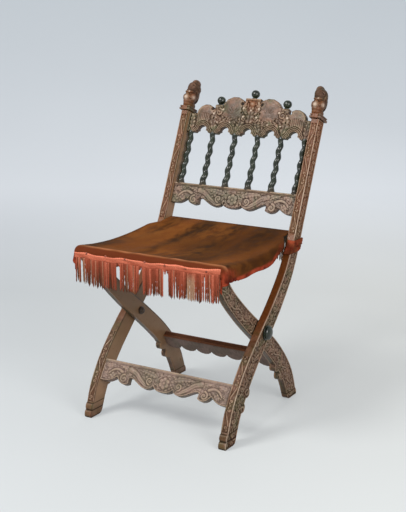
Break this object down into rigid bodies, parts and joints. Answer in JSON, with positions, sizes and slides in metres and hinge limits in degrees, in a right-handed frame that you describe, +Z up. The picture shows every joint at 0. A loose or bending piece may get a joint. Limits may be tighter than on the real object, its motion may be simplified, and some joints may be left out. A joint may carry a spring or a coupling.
{
  "type": "folding church chair",
  "caption": "Folding wooden chair with X-crossed curved legs, a raked back of twisted spindles under a carved crest, and a fringed velvet sling seat.",
  "frame": {"origin": "bottom centre of the chair's box, on the floor between the four feet", "axes": "+Z up, -Y the way the sitter faces, +X to the viewer's right seen from the front"},
  "size_m": [0.4806, 0.6206, 0.8896],
  "materials": {
    "carved_oak": "grey-brown, waxed, worn on its carved edges",
    "black_wood": "ebonised and polished",
    "dark_iron": "dark, slightly worn",
    "brown_velvet": "red-brown velvet with a worn nap",
    "coral_braid": "faded coral braid with hanging strands"
  },
  "bodies": {
    "back_frame": {"long_leg_left": "carved_oak", "collar_left": "carved_oak", "finial_head_left": "carved_oak", "pivot_bolt_left": "dark_iron", "pivot_boss_left": "black_wood", "pivot_nut_left": "black_wood", "pivot_washer_left": "dark_iron", "post_wrap_left": "brown_velvet", "long_leg_right": "carved_oak", "collar_right": "carved_oak", "finial_head_right": "carved_oak", "pivot_bolt_right": "dark_iron", "pivot_boss_right": "black_wood", "pivot_nut_right": "black_wood", "pivot_washer_right": "dark_iron", "post_wrap_right": "brown_velvet", "crest_rail": "carved_oak", "crest_ball_left": "black_wood", "crest_ball_centre": "black_wood", "crest_ball_right": "black_wood", "lower_back_rail": "carved_oak", "front_stretcher": "carved_oak", "rear_seat_rail": "carved_oak", "seat_sling": "brown_velvet", "rear_fringe": "coral_braid", "spindle_1": "black_wood", "spindle_2": "black_wood", "spindle_3": "black_wood", "spindle_4": "black_wood", "spindle_5": "black_wood", "spindle_6": "black_wood", "rear_tack_1": "dark_iron", "rear_tack_2": "dark_iron", "rear_tack_3": "dark_iron", "rear_tack_4": "dark_iron", "rear_tack_5": "dark_iron", "rear_tack_6": "dark_iron", "rear_tack_7": "dark_iron"},
    "seat_frame": {"short_leg_left": "carved_oak", "short_leg_right": "carved_oak", "front_seat_rail": "carved_oak", "rear_stretcher": "carved_oak", "front_fringe": "coral_braid", "front_tack_1": "dark_iron", "front_tack_2": "dark_iron", "front_tack_3": "dark_iron", "front_tack_4": "dark_iron", "front_tack_5": "dark_iron", "front_tack_6": "dark_iron", "front_tack_7": "dark_iron"}
  },
  "joints": [
    {"name": "fold", "type": "hinge", "parent": "back_frame", "child": "seat_frame", "pos_m": [0, -0.06189, 0.26], "axis": [1, 0, 0], "range_deg": [-72, 0], "deforming": ["seat_sling"]}
  ]
}
